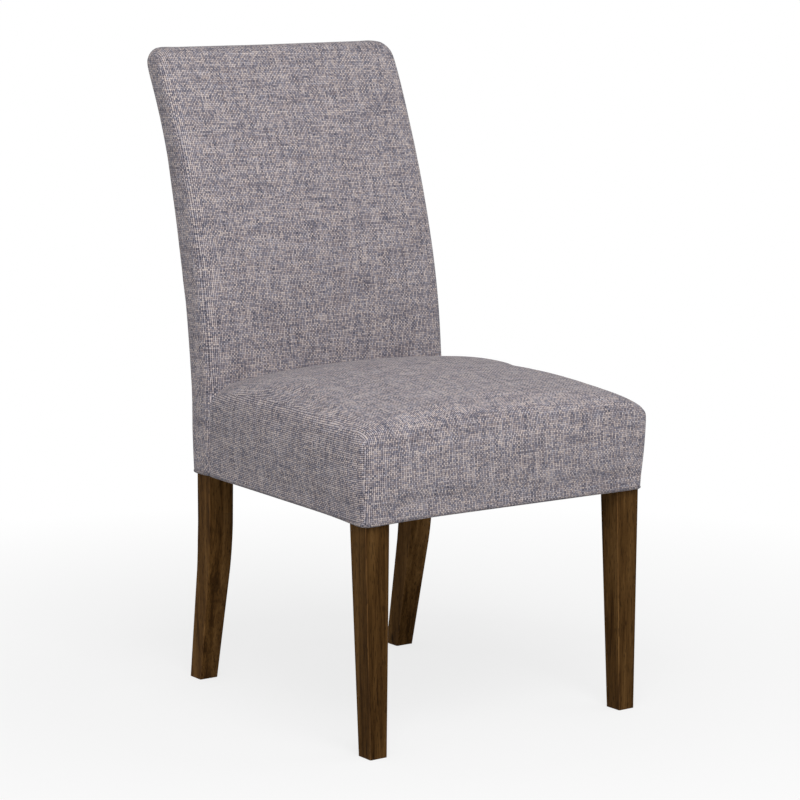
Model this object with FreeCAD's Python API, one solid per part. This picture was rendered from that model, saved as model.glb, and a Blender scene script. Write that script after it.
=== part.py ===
import FreeCAD, Part
import math
import os

# An upholstered parsons chair, in millimetres. X runs to the right for someone who faces
# the chair, Y runs from the front of the seat to the back, and Z is up from the floor.
# Left and right are those of someone who faces the chair. While the pieces are made,
# Y is 0 at the front of the seat cover; the finished chair is then centred over the origin.

Vector = FreeCAD.Vector

# Whole chair
hem_height = 345.0
back_height = 1018.0

# Seat block, measured on the outside of its cover
seat_front_half_width = 261.5
seat_rear_half_width = 229.5
seat_depth = 469.5
seat_crown_height = 528.0
seat_crown_place = 255.0
seat_rear_height = 510.0
seat_cross_drop_front = 18.0
seat_cross_drop_rear = 10.0
seat_shoulder_width = 45.0
seat_shoulder_radius = 90.0
seat_front_roll_radius = 90.0
seat_wall_bulge = 6.5
seat_bulge_height = 105.0
seat_corner_round = 15.5
seat_rim_round = 14.0
seat_roll_steps = 4
seat_shoulder_steps = 1
seat_length_steps = 4

# Back block, measured on the outside of its cover
back_half_width = 232.5
back_hem_half_width = 229.5
back_flare_height = 65.0
back_thickness = 64.5
back_front_bend_height = 424.0
back_front_bend_radius = 1200.0
back_rear_bend_height = 440.0
back_rear_bend_radius = 1250.0
back_corner_round = 27.0
back_front_edge_round = 20.0
back_rear_edge_bevel = 10.5

# Front legs: a square top, tapered below the hem on all four faces
front_leg_width = 42.5
front_leg_depth = 40.5
front_foot_width = 29.5
front_foot_depth = 31.0
front_leg_side_reveal = 6.5
front_leg_front_reveal = 6.0
front_foot_side_tuck = 6.0
front_foot_front_splay = 3.0
leg_edge_bevel = 1.2

# Rear legs: sawn in one piece with the back posts
rear_leg_width = 45.5
rear_leg_depth = 37.0
rear_foot_width = 32.5
rear_foot_depth = 32.0
rear_leg_outer_x = 219.5
rear_leg_rear_reveal = 4.6
rear_foot_tuck = 8.0
rear_taper_height = 232.0
rear_bend_height = 280.0
rear_bend_end = 170.0
rear_foot_sweep = 47.5
post_top_depth = 25.0
post_top_drop = 26.0

# Seat rails
rail_thickness = 22.0
rail_height = 88.0

# Back rails
back_rail_thickness = 20.0
back_top_rail_height = 62.0
back_middle_rail_height = 50.0
back_bottom_rail_height = 50.0
back_bottom_rail_rise = 22.0

# Corner blocks
block_reach = 46.0
block_height = 45.0
block_drop = 8.0

# Tenons of the rails, and the play of their mortises
tenon_length = 20.0
tenon_thickness = 9.0
seat_tenon_shoulder = 12.0
back_tenon_shoulder = 8.0
mortise_play = 0.1

# Webbing, tacking and padding layers
webbing_width = 50.0
webbing_thickness = 1.5
webbing_weave = 0.9
webbing_overlap = 17.0
seat_webbing_count = 4
back_webbing_count = 5
fabric_thickness = 1.2
wadding_thickness = 3.0
layer_gap = 0.1
back_padding_lift = 7.0
panel_thickness = 2.0
tack_strip_thickness = 0.9
tack_strip_width = 12.0
welt_height = 7.0
welt_proud = 2.0
welt_inner = 2.2
welt_edge_bevel = 1.8
inner_bevel_share = 0.75
dust_cover_thickness = 0.6
dust_cover_play = 0.4

# Heights and places that follow from the sizes above
rail_bottom = hem_height + dust_cover_thickness + layer_gap
rail_top = rail_bottom + rail_height
cover_bottom = hem_height + welt_height
webbing_level = rail_top + webbing_thickness / 2
foam_bottom = webbing_level + webbing_weave + webbing_thickness / 2 + layer_gap
back_padding_bottom = foam_bottom + back_padding_lift
back_webbing_room = webbing_thickness + layer_gap
back_rear_y = seat_depth + back_thickness
padding_inset = fabric_thickness + wadding_thickness + 2 * layer_gap
front_leg_outer_x = seat_front_half_width - front_leg_side_reveal
front_leg_front_y = front_leg_front_reveal
front_leg_inner_x = front_leg_outer_x - front_leg_width
front_leg_rear_y = front_leg_front_y + front_leg_depth
front_rail_inner_y = front_leg_front_y + rail_thickness
rear_leg_inner_x = rear_leg_outer_x - rear_leg_width
rear_leg_rear_y = back_rear_y - rear_leg_rear_reveal
rear_leg_front_y = rear_leg_rear_y - rear_leg_depth
rear_rail_inner_y = rear_leg_rear_y - rail_thickness
post_top = back_height - post_top_drop
far = 1500.0
overshoot = 10.0
near_zero = 0.4


def polygon(points):
    """A closed wire through the points."""
    return Part.makePolygon(points + [points[0]])


def prism(points, direction):
    """A solid with the polygon as its end face."""
    return Part.Face(polygon(points)).extrude(direction)


def block(x_low, x_high, y_low, y_high, z_low, z_high):
    corner = Vector(x_low, y_low, z_low)
    return Part.makeBox(x_high - x_low, y_high - y_low, z_high - z_low, corner)


def mirrored(shape):
    """The same piece for the other side of the chair."""
    return shape.mirror(Vector(0, 0, 0), Vector(1, 0, 0))


def frustum(low, high):
    """A solid between two level plans with parallel sides, both anticlockwise from above."""
    box = Part.makePolygon(low + high).BoundBox
    solid = block(box.XMin, box.XMax, box.YMin, box.YMax, box.ZMin, box.ZMax)
    beyond = []
    for number, corner in enumerate(low):
        outward = (low[(number + 1) % len(low)] - corner).cross(high[number] - corner)
        beyond.append(Part.makeCylinder(far, far, corner, outward.normalize()))
    return solid.cut(Part.makeCompound(beyond))


def cut_all(shape, tools):
    """The shape less those of the tools that reach it."""
    near = [tool for tool in tools if tool.BoundBox.intersect(shape.BoundBox)]
    return shape.cut(Part.makeCompound(near)) if near else shape


class Lean:
    """A side view line of the back: upright to bend_z, then an arc that leans to the rear."""

    def __init__(self, y, bend_z, radius):
        self.y = y
        self.bend_z = bend_z
        self.radius = radius

    def moved(self, distance):
        """The parallel line, further to the rear by the distance."""
        return Lean(self.y + distance, self.bend_z, self.radius - distance)

    def at(self, z):
        rise = max(z - self.bend_z, 0.0)
        return self.y + self.radius - math.sqrt(self.radius ** 2 - rise ** 2)

    def slope(self, z):
        """Angle between the line and upright at a height, in radians."""
        return math.asin(max(z - self.bend_z, 0.0) / self.radius)

    def point(self, z):
        return Vector(0, self.at(z), z)

    def edges(self, z_low, z_high):
        """The line's edges from the lower height to the upper one."""
        made = []
        if z_low < self.bend_z:
            made.append(Part.LineSegment(self.point(z_low), self.point(min(self.bend_z, z_high))).toShape())
        start = max(z_low, self.bend_z)
        if z_high > start:
            middle = self.point((start + z_high) / 2)
            made.append(Part.Arc(self.point(start), middle, self.point(z_high)).toShape())
        return made


def lean_to(y, bend_z, run, z_end):
    """A lean line that has gone back by the run at the end height."""
    rise = z_end - bend_z
    return Lean(y, bend_z, (run ** 2 + rise ** 2) / (2 * run))


back_front = Lean(seat_depth, back_front_bend_height, back_front_bend_radius)
back_rear = Lean(back_rear_y, back_rear_bend_height, back_rear_bend_radius)
post_rear = back_rear.moved(-rear_leg_rear_reveal)
post_front_run = post_rear.at(post_top) - post_top_depth - rear_leg_front_y
post_front = lean_to(rear_leg_front_y, back_rear_bend_height, post_front_run, post_top)


def slab(front, rear, z_low, z_high, half_width):
    """A solid between two lean lines, as wide as twice the half width."""
    edges = front.edges(z_low, z_high) + rear.edges(z_low, z_high)
    edges.append(Part.LineSegment(front.point(z_low), rear.point(z_low)).toShape())
    edges.append(Part.LineSegment(front.point(z_high), rear.point(z_high)).toShape())
    face = Part.Face(Part.Wire(Part.__sortEdges__(edges)))
    face.translate(Vector(-half_width, 0, 0))
    return face.extrude(Vector(2 * half_width, 0, 0))


def edge_middle(edge):
    return edge.valueAt((edge.FirstParameter + edge.LastParameter) / 2)


def rise_of(edge):
    """How steeply an edge starts, from 0 for level to 1 for upright."""
    return abs(edge.tangentAt(edge.FirstParameter).z)


def upright_edges(shape):
    return [edge for edge in shape.Edges if rise_of(edge) > math.cos(near_zero)]


def back_outline(side_inset, top_inset, bottom):
    """Front view of the back: a curved flare from the hem and rounded top corners."""
    half = back_half_width - side_inset
    flare = back_half_width - back_hem_half_width
    top = back_height - top_inset
    corner = back_corner_round - side_inset
    flare_top = hem_height + back_flare_height

    flare_radius = (back_flare_height ** 2 + flare ** 2) / (2 * flare)

    def at(height, side):
        below = flare_top - height
        return Vector(side * (half - flare_radius + math.sqrt(flare_radius ** 2 - below ** 2)), 0, height)

    middle_height = (bottom + flare_top) / 2
    edges = []
    for side in (-1, 1):
        corner_low = Vector(side * half, 0, top - corner)
        corner_middle = Vector(side * (half - corner * (1 - math.sqrt(0.5))), 0, top - corner * (1 - math.sqrt(0.5)))
        corner_high = Vector(side * (half - corner), 0, top)
        edges.append(Part.Arc(at(bottom, side), at(middle_height, side), at(flare_top, side)).toShape())
        edges.append(Part.LineSegment(at(flare_top, side), corner_low).toShape())
        edges.append(Part.Arc(corner_low, corner_middle, corner_high).toShape())
    edges.append(Part.LineSegment(at(bottom, -1), at(bottom, 1)).toShape())
    edges.append(Part.LineSegment(Vector(corner - half, 0, top), Vector(half - corner, 0, top)).toShape())
    return Part.Face(Part.Wire(Part.__sortEdges__(edges))).extrude(Vector(0, far, 0))


def back_block(front_inset, side_inset, rear_inset, top_inset):
    """The back block with each face moved in by its own inset, its edges still sharp."""
    top = back_height - top_inset
    front = back_front.moved(front_inset)
    rear = back_rear.moved(-rear_inset)
    sheet = slab(front, rear, cover_bottom - overshoot, top + overshoot, back_half_width + overshoot)
    return sheet.common(back_outline(side_inset, top_inset, cover_bottom))


def rim_edges(form, line):
    """The edges along a lean line: up both sides of the back and over its top."""
    found = []
    for edge in form.Edges:
        middle = edge_middle(edge)
        on_line = abs(middle.y - line.at(middle.z)) < near_zero
        across = abs(middle.x) < near_zero and middle.z < post_top
        if on_line and not across and middle.z > cover_bottom + near_zero:
            found.append(edge)
    return found


def back_outside():
    """The outside of the back's covers, rounded in front and bevelled along the rear seam."""
    form = back_block(0, 0, 0, 0)
    form = form.makeFillet(back_front_edge_round, rim_edges(form, back_front))
    return form.makeChamfer(back_rear_edge_bevel, rim_edges(form, back_rear))


def back_filling(front_inset, side_inset, rear_inset, top_inset, rear_bevel=back_rear_edge_bevel):
    """A layer's space inside the back's covers, with its edges bevelled."""
    form = back_block(front_inset, side_inset, rear_inset, top_inset)
    front = rim_edges(form, back_front.moved(front_inset))
    form = form.makeChamfer(back_front_edge_round * inner_bevel_share, front)
    if not rear_bevel:
        return form
    return form.makeChamfer(rear_bevel, rim_edges(form, back_rear.moved(-rear_inset)))


def seat_half_width(y):
    return seat_front_half_width + (seat_rear_half_width - seat_front_half_width) * y / seat_depth


def crown_height(y):
    """Height of the seat's middle line: an arc along the seat, and a roll to the front."""
    rise = seat_crown_height - seat_rear_height
    run = seat_depth - seat_crown_place
    radius = (run ** 2 + rise ** 2) / (2 * rise)
    height = seat_crown_height - radius + math.sqrt(radius ** 2 - (y - seat_crown_place) ** 2)
    roll = max(seat_shoulder_width - y, 0.0)
    return height - seat_front_roll_radius + math.sqrt(seat_front_roll_radius ** 2 - roll ** 2)


def seat_section(y, turn, inset, bottom):
    """The seat block's section across the chair: a wide crown, shoulders, rims and walls.

    The turn is 0 on the front face and a right angle where the front rounding ends.
    """
    drawn_in = 1 - math.sin(turn)
    lean = seat_wall_bulge * (1 - min(y / seat_depth, 1))
    rim = seat_rim_round - inset
    shoulder = seat_shoulder_radius - inset
    hem_half = seat_half_width(y) - inset - (seat_corner_round - inset) * drawn_in
    crown = crown_height(y) - inset - rim * drawn_in
    half = seat_half_width(y) + lean - seat_shoulder_width
    drop = seat_cross_drop_front + (seat_cross_drop_rear - seat_cross_drop_front) * y / seat_depth
    start = math.asin(2 * half * drop / (half ** 2 + drop ** 2))
    shoulder_centre = Vector(half - shoulder * math.sin(start), y, crown - drop - shoulder * math.cos(start))
    rim_x = hem_half + lean - rim
    end = math.asin((rim_x - shoulder_centre.x) / (shoulder - rim))
    rim_centre = Vector(rim_x, y, shoulder_centre.z + (shoulder - rim) * math.cos(end))

    def arc(centre, radius, first, last):
        points = []
        for angle in (first, (first + last) / 2, last):
            points.append(centre + Vector(math.sin(angle), 0, math.cos(angle)) * radius)
        return points

    shoulder_arc = arc(shoulder_centre, shoulder, start, end)
    rim_arc = arc(rim_centre, rim, end, math.pi / 2)
    low = Vector(hem_half, y, bottom)
    right = [Part.Arc(*shoulder_arc), Part.Arc(*rim_arc), Part.LineSegment(rim_arc[-1], low)]
    first = shoulder_arc[0]
    edges = [Part.Arc(Vector(-first.x, y, first.z), Vector(0, y, crown), first).toShape()]
    edges += [curve.toShape() for curve in right]
    edges.append(Part.LineSegment(low, Vector(-low.x, y, bottom)).toShape())
    edges += [mirrored(curve.toShape()) for curve in reversed(right)]
    return Part.Wire(edges)


def seat_form(inset, bottom, rear_y):
    """The seat block with its faces moved in by the inset, closer in its sections in front."""
    corner = seat_corner_round - inset
    sections = []
    for step in range(seat_roll_steps + 1):
        turn = math.pi / 2 * step / seat_roll_steps
        sections.append(seat_section(inset + corner * (1 - math.cos(turn)), turn, inset, bottom))
    stretches = (
        (seat_corner_round, seat_shoulder_width, seat_shoulder_steps),
        (seat_shoulder_width, rear_y, seat_length_steps),
    )
    for start, end, steps in stretches:
        for step in range(1, steps + 1):
            y = start + (end - start) * step / steps
            sections.append(seat_section(y, math.pi / 2, inset, bottom))
    return Part.makeLoft(sections, True, True)


def level_plan(left, right, front, rear, z):
    return [Vector(left, front, z), Vector(right, front, z), Vector(right, rear, z), Vector(left, rear, z)]


def front_leg():
    """The right front leg: square between the rails, tapered from the hem to the foot."""
    foot_outer_x = front_leg_outer_x - front_foot_side_tuck
    foot_front_y = front_leg_front_y - front_foot_front_splay
    foot = level_plan(foot_outer_x - front_foot_width, foot_outer_x, foot_front_y, foot_front_y + front_foot_depth, 0)
    knee = level_plan(front_leg_inner_x, front_leg_outer_x, front_leg_front_y, front_leg_rear_y, hem_height)
    taper = frustum(foot, knee)
    taper = taper.makeChamfer(leg_edge_bevel, upright_edges(taper))
    top = block(front_leg_inner_x, front_leg_outer_x, front_leg_front_y, front_leg_rear_y, hem_height, rail_top)
    return taper.fuse(top)


def swept_edges(hem_y, foot_y):
    """One face of a rear leg in side view: straight from the foot, then an arc to upright."""
    bend = rear_bend_height - rear_bend_end
    slope = (foot_y - hem_y) / (rear_bend_end + bend / 2)
    bend_low = Vector(0, hem_y + slope * bend / 2, rear_bend_end)
    bend_middle = Vector(0, hem_y + slope * bend / 8, rear_bend_height - bend / 2)
    bend_high = Vector(0, hem_y, rear_bend_height)
    upright_end = Vector(0, hem_y, hem_height)
    return [
        Part.LineSegment(Vector(0, foot_y, 0), bend_low).toShape(),
        Part.Arc(bend_low, bend_middle, bend_high).toShape(),
        Part.LineSegment(bend_high, upright_end).toShape(),
    ]


def rear_leg():
    """The right rear leg: it sweeps back below the hem, and its post leans back above."""
    foot_front_y = rear_leg_front_y + rear_foot_sweep
    foot_rear_y = foot_front_y + rear_foot_depth
    foot_outer_x = rear_leg_outer_x - rear_foot_tuck
    foot_inner_x = foot_outer_x - rear_foot_width
    edges = swept_edges(rear_leg_front_y, foot_front_y) + swept_edges(rear_leg_rear_y, foot_rear_y)
    for z, front_y, rear_y in ((0, foot_front_y, foot_rear_y), (hem_height, rear_leg_front_y, rear_leg_rear_y)):
        edges.append(Part.LineSegment(Vector(0, front_y, z), Vector(0, rear_y, z)).toShape())
    side = Part.Face(Part.Wire(Part.__sortEdges__(edges))).extrude(Vector(far, 0, 0))
    outline = prism([
        Vector(foot_inner_x, 0, 0),
        Vector(foot_outer_x, 0, 0),
        Vector(rear_leg_outer_x, 0, rear_taper_height),
        Vector(rear_leg_outer_x, 0, hem_height),
        Vector(rear_leg_inner_x, 0, hem_height),
    ], Vector(0, far, 0))
    leg = side.common(outline)
    leg = leg.makeChamfer(leg_edge_bevel, upright_edges(leg))
    post = slab(post_front, post_rear, hem_height, post_top, rear_leg_outer_x)
    post = post.common(block(rear_leg_inner_x, rear_leg_outer_x, 0, far, 0, far))
    return leg.fuse(post)


def side_outer_x(y):
    """Outer face of the right side rail, which runs from front leg to rear leg."""
    share = (y - front_leg_rear_y) / (rear_leg_front_y - front_leg_rear_y)
    return front_leg_outer_x + (rear_leg_outer_x - front_leg_outer_x) * share


def side_inner_x(y):
    return side_outer_x(y) - rail_thickness


def tenon(place, along, up, height, play):
    """A rail's tenon from its joint face; with play, the mortise that takes it."""
    raised = up * (height / 2 + play)
    aside = along.cross(up) * (tenon_thickness / 2 + play)
    corners = [
        place - raised - aside,
        place - raised + aside,
        place + raised + aside,
        place + raised - aside,
    ]
    return prism(corners, along * (tenon_length + play))


def both_sides(piece):
    return [piece, mirrored(piece)]


class SeatRails:
    """The four rails round the seat, with their tenons or the mortises for them."""

    def __init__(self, play):
        middle = rail_bottom + rail_height / 2
        height = rail_height - 2 * seat_tenon_shoulder
        half = rail_thickness / 2
        right = Vector(1, 0, 0)
        rearward = Vector(0, 1, 0)
        up = Vector(0, 0, 1)
        front = Vector(front_leg_inner_x, front_leg_front_y + half, middle)
        rear = Vector(rear_leg_inner_x, rear_leg_rear_y - half, middle)
        side_front = Vector(side_outer_x(front_leg_rear_y) - half, front_leg_rear_y, middle)
        side_rear = Vector(side_outer_x(rear_leg_front_y) - half, rear_leg_front_y, middle)
        self.front = both_sides(tenon(front, right, up, height, play))
        self.rear = both_sides(tenon(rear, right, up, height, play))
        self.side = [
            tenon(side_front, -rearward, up, height, play),
            tenon(side_rear, rearward, up, height, play),
        ]

    def mortises(self):
        return self.front + self.rear + self.side + [mirrored(piece) for piece in self.side]

    def front_rail(self):
        reach = front_leg_inner_x
        board = block(-reach, reach, front_leg_front_y, front_rail_inner_y, rail_bottom, rail_top)
        return board.fuse(self.front)

    def rear_rail(self):
        reach = rear_leg_inner_x
        board = block(-reach, reach, rear_rail_inner_y, rear_leg_rear_y, rail_bottom, rail_top)
        return board.fuse(self.rear)

    def side_rail(self):
        """The right side rail, which narrows the seat to the rear."""
        board = prism([
            Vector(side_inner_x(front_leg_rear_y), front_leg_rear_y, rail_bottom),
            Vector(side_outer_x(front_leg_rear_y), front_leg_rear_y, rail_bottom),
            Vector(side_outer_x(rear_leg_front_y), rear_leg_front_y, rail_bottom),
            Vector(side_inner_x(rear_leg_front_y), rear_leg_front_y, rail_bottom),
        ], Vector(0, 0, rail_height))
        return board.fuse(self.side)


class BackRail:
    """A straight board between the back posts, tilted with them and tenoned into them."""

    def __init__(self, z, height):
        self.height = height
        self.centre = Vector(0, (post_front.at(z) + post_rear.at(z)) / 2, z)
        tilt = (post_front.slope(z) + post_rear.slope(z)) / 2
        self.up = Vector(0, math.sin(tilt), math.cos(tilt))
        self.rearward = Vector(0, math.cos(tilt), -math.sin(tilt))

    def tenons(self, play):
        place = self.centre + Vector(rear_leg_inner_x, 0, 0)
        height = self.height - 2 * back_tenon_shoulder
        return both_sides(tenon(place, Vector(1, 0, 0), self.up, height, play))

    def rail(self):
        up = self.up * (self.height / 2)
        rearward = self.rearward * (back_rail_thickness / 2)
        left = Vector(-rear_leg_inner_x, 0, 0)
        corners = [
            self.centre - up - rearward + left,
            self.centre - up + rearward + left,
            self.centre + up + rearward + left,
            self.centre + up - rearward + left,
        ]
        board = prism(corners, Vector(2 * rear_leg_inner_x, 0, 0))
        return board.fuse(self.tenons(0))


def corner_block(leg_x, leg_y, rail_y, reach):
    """The right block in a corner: it is notched round the leg and glued to both rails."""
    bottom = rail_top - block_drop - block_height
    return prism([
        Vector(leg_x - block_reach, rail_y, bottom),
        Vector(leg_x, rail_y, bottom),
        Vector(leg_x, leg_y, bottom),
        Vector(side_inner_x(leg_y), leg_y, bottom),
        Vector(side_inner_x(leg_y + reach), leg_y + reach, bottom),
    ], Vector(0, 0, block_height))


def webbing_strip(start, end, crossings, phase):
    """A woven strip's side view, as points (run, height) of its middle line."""
    points = [(start, webbing_level), (start + webbing_overlap, webbing_level)]
    half = webbing_width / 2
    for number, crossing in enumerate(crossings):
        sign = 1 if (number + phase) % 2 == 0 else -1
        height = webbing_level + sign * webbing_weave
        points.append((crossing - half, height))
        points.append((crossing + half, height))
    points.append((end - webbing_overlap, webbing_level))
    points.append((end, webbing_level))
    return points


def strip_solid(points, across, along_x):
    """The strip made solid: thickness about its middle line, width about its place."""
    half = webbing_thickness / 2
    outline = [(run, height - half) for run, height in points]
    outline += [(run, height + half) for run, height in reversed(points)]
    low = across - webbing_width / 2
    if along_x:
        return prism([Vector(run, low, height) for run, height in outline], Vector(0, webbing_width, 0))
    return prism([Vector(low, run, height) for run, height in outline], Vector(webbing_width, 0, 0))


def spread(count, low, high):
    """The middles of equal shares of a stretch."""
    return [low + (high - low) * (2 * number + 1) / (2 * count) for number in range(count)]


def seat_webbing():
    """Both sets of seat webbing, which pass over and under each other."""
    lengthwise_places = spread(seat_webbing_count, -rear_leg_inner_x, rear_leg_inner_x)
    crosswise_places = spread(seat_webbing_count, front_leg_rear_y, rear_leg_front_y)
    lengthwise = []
    crosswise = []
    start = front_rail_inner_y - webbing_overlap
    end = rear_rail_inner_y + webbing_overlap
    for number, x in enumerate(lengthwise_places):
        points = webbing_strip(start, end, crosswise_places, number)
        lengthwise.append(strip_solid(points, x, False))
    for number, y in enumerate(crosswise_places):
        reach = side_inner_x(y) + webbing_overlap
        points = webbing_strip(-reach, reach, lengthwise_places, number + 1)
        crosswise.append(strip_solid(points, y, True))
    return lengthwise, crosswise


def back_webbing():
    """Level strips across the fronts of the posts."""
    low = back_padding_bottom
    high = post_top - back_top_rail_height / 2
    strips = []
    for z in spread(back_webbing_count, low, high):
        bottom = z - webbing_width / 2
        strips.append(slab(post_front.moved(-webbing_thickness), post_front, bottom, bottom + webbing_width,
                           rear_leg_inner_x + webbing_overlap))
    return strips


def frame_block(bottom, top):
    """The space inside the outer faces of the legs and rails, up to a height."""
    points = [
        Vector(front_leg_outer_x, front_leg_front_y, bottom),
        Vector(front_leg_outer_x, front_leg_rear_y, bottom),
        Vector(rear_leg_outer_x, rear_leg_front_y, bottom),
        Vector(rear_leg_outer_x, far, bottom),
    ]
    points += [Vector(-point.x, point.y, point.z) for point in reversed(points)]
    return prism(points, Vector(0, 0, top - bottom))


def hem_block(growth, bottom, top):
    """The plan of the upholstery's lower edge, grown outwards, between two heights."""
    points = [
        Vector(seat_front_half_width + growth, -growth, bottom),
        Vector(seat_rear_half_width + growth, seat_depth, bottom),
        Vector(back_hem_half_width + growth, back_rear_y + growth, bottom),
    ]
    points += [Vector(-point.x, point.y, point.z) for point in reversed(points)]
    solid = prism(points, Vector(0, 0, top - bottom))
    rear = [edge for edge in upright_edges(solid) if edge_middle(edge).y > back_rear_y + growth - near_zero]
    solid = solid.makeFillet(back_rear_edge_bevel + growth, rear)
    front = [edge for edge in upright_edges(solid) if edge_middle(edge).y < near_zero - growth]
    return solid.makeFillet(seat_corner_round + growth, front)


def bottom_welt():
    """The welt round the lower edge: a bead that stands a little proud of the covers."""
    outer = hem_block(welt_proud, hem_height, cover_bottom)
    rim = [edge for edge in outer.Edges if rise_of(edge) < near_zero]
    outer = outer.makeChamfer(welt_edge_bevel, rim)
    return outer.cut(hem_block(-welt_inner, hem_height - overshoot, cover_bottom + overshoot))


def dust_cover():
    """Thin cloth under the seat, inside the welt, cut out round the four legs."""
    sheet = hem_block(-welt_inner - layer_gap, hem_height, hem_height + dust_cover_thickness)
    play = dust_cover_play
    holes = both_sides(block(front_leg_inner_x - play, far, -far, front_leg_rear_y + play, 0, far))
    holes += both_sides(block(rear_leg_inner_x - play, far, rear_leg_front_y - play, far, 0, far))
    return cut_all(sheet, holes)


# The frame: legs mortised for the rails, and glued blocks in the corners
seat_rails = SeatRails(0)
back_bottom_z = rail_top + back_bottom_rail_rise + back_bottom_rail_height / 2
back_rails = {
    "back_bottom_rail": BackRail(back_bottom_z, back_bottom_rail_height),
    "back_middle_rail": BackRail((rail_top + post_top) / 2, back_middle_rail_height),
    "back_top_rail": BackRail(post_top - back_top_rail_height / 2, back_top_rail_height),
}
mortises = SeatRails(mortise_play).mortises()
for back_rail in back_rails.values():
    mortises += back_rail.tenons(mortise_play)
right_pieces = {
    "front_leg_right": cut_all(front_leg(), mortises),
    "rear_leg_right": cut_all(rear_leg(), mortises),
    "side_seat_rail_right": seat_rails.side_rail(),
    "corner_block_front_right": corner_block(front_leg_inner_x, front_leg_rear_y, front_rail_inner_y, block_reach),
    "corner_block_rear_right": corner_block(rear_leg_inner_x, rear_leg_front_y, rear_rail_inner_y, -block_reach),
}
nodes = {}
for name, piece in right_pieces.items():
    nodes[name] = piece
    nodes[name.replace("right", "left")] = mirrored(piece)
nodes["front_seat_rail"] = seat_rails.front_rail()
nodes["rear_seat_rail"] = seat_rails.rear_rail()
for name, back_rail in back_rails.items():
    nodes[name] = back_rail.rail()

# The webbing that carries the padding
lengthwise_webbing, crosswise_webbing = seat_webbing()
nodes["seat_webbing_lengthwise"] = Part.makeCompound(lengthwise_webbing)
nodes["seat_webbing_crosswise"] = Part.makeCompound(crosswise_webbing)
nodes["back_webbing"] = Part.makeCompound(back_webbing())

# The seat's padding and cover, from the outside in, each trimmed by the back
back_space = back_outside()
behind_seat = slab(back_front, back_rear, hem_height, back_height, far)
seat_rear_y = seat_depth + back_front_edge_round
tool_bottom = cover_bottom - overshoot
tool_rear_y = seat_rear_y + overshoot
seat_outside = seat_form(0, cover_bottom, seat_rear_y)
cover_under = seat_form(fabric_thickness, tool_bottom, tool_rear_y)
wadding_outside = seat_form(fabric_thickness + layer_gap, cover_bottom, seat_rear_y)
wadding_under = seat_form(padding_inset - layer_gap, tool_bottom, tool_rear_y)
core = seat_form(padding_inset, cover_bottom, seat_rear_y).cut(behind_seat)
foam_space = block(-far, far, -far, far, foam_bottom, far)
nodes["seat_cover"] = seat_outside.cut(cover_under).cut(back_space)
nodes["seat_wadding"] = wadding_outside.cut(wadding_under).cut(behind_seat)
nodes["seat_foam"] = core.common(foam_space)
nodes["rail_padding"] = core.cut(foam_space).cut(frame_block(hem_height, foam_bottom))

# The back's padding and board
rear_inset = fabric_thickness + layer_gap
wadding_inner_inset = padding_inset - layer_gap
window_half = side_outer_x(seat_depth) + layer_gap
window = block(-window_half, window_half, 0, rear_leg_front_y, 0, back_padding_bottom)
webbing_front = post_front.moved(-back_webbing_room)
foam_region = slab(back_front.moved(-overshoot), webbing_front, back_padding_bottom, back_height, far)
edge_region = slab(webbing_front.moved(layer_gap), back_rear.moved(overshoot), cover_bottom, back_height, far)
frame_space = block(-rear_leg_outer_x, rear_leg_outer_x, 0, far, 0, post_top)
padded_back = back_filling(padding_inset, padding_inset, rear_inset, padding_inset)
nodes["back_foam"] = padded_back.common(foam_region)
nodes["back_edge_padding"] = padded_back.common(edge_region).cut(frame_space)
wadding_outside = back_filling(rear_inset, rear_inset, rear_inset, rear_inset)
wadding_under = back_filling(wadding_inner_inset, wadding_inner_inset, -layer_gap, wadding_inner_inset, 0)
nodes["back_wadding"] = wadding_outside.cut(wadding_under).cut(window)
strip_rear = back_rear.moved(-rear_inset)
strip_front = strip_rear.moved(-tack_strip_thickness)
panel_rear = strip_front.moved(-layer_gap)
nodes["back_panel"] = slab(panel_rear.moved(-panel_thickness), panel_rear, cover_bottom, post_top, rear_leg_outer_x)
strip_sheet = slab(strip_front, strip_rear, cover_bottom, post_top, rear_leg_outer_x)
strip_inner_x = rear_leg_outer_x - tack_strip_width
strip_level = post_top - tack_strip_width
side_strip = strip_sheet.common(block(strip_inner_x, far, 0, far, 0, strip_level - layer_gap))
top_strip = strip_sheet.common(block(-far, far, 0, far, strip_level, far))
nodes["back_tack_strips"] = Part.makeCompound(both_sides(side_strip) + [top_strip])

# The back's covers meet in a seam along the sides and the top
under_covers = back_filling(fabric_thickness, fabric_thickness, fabric_thickness, fabric_thickness)
covers = back_space.cut(under_covers)
seam = back_rear.moved(-back_rear_edge_bevel)
rear_region = slab(seam, back_rear.moved(overshoot), cover_bottom, back_height, far)
nodes["outside_back_cover"] = covers.common(rear_region)
nodes["inside_back_cover"] = covers.cut(rear_region).cut(window)

nodes["bottom_welt"] = bottom_welt()
nodes["dust_cover"] = dust_cover()

# The finished chair is centred over the origin and written, one file for each node
bounds = Part.makeCompound(list(nodes.values())).optimalBoundingBox(True, False)
centre_shift = Vector(0, -(bounds.YMin + bounds.YMax) / 2, 0)
print("width", round(bounds.XLength, 2), "depth", round(bounds.YLength, 2), "height", round(bounds.ZMax, 2))
print("shift of the seat front", round(centre_shift.y, 3))
os.makedirs("parts", exist_ok=True)
for name, piece in nodes.items():
    solids = piece.Solids
    shape = solids[0].copy() if len(solids) == 1 else Part.makeCompound(solids)
    shape.translate(centre_shift)
    shape.exportStep("parts/" + name + ".step")
    print(name, len(solids), "solids", len(shape.Faces), "faces", shape.isValid())
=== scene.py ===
# %% [markdown]
# A parsons chair: a seat and a tall back under one slub cloth, on four stained wooden legs.
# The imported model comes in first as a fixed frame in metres. Each soft piece is then made new
# in the place of its solid, and each hard piece keeps its solid's shape and gets its material.

import math

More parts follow.
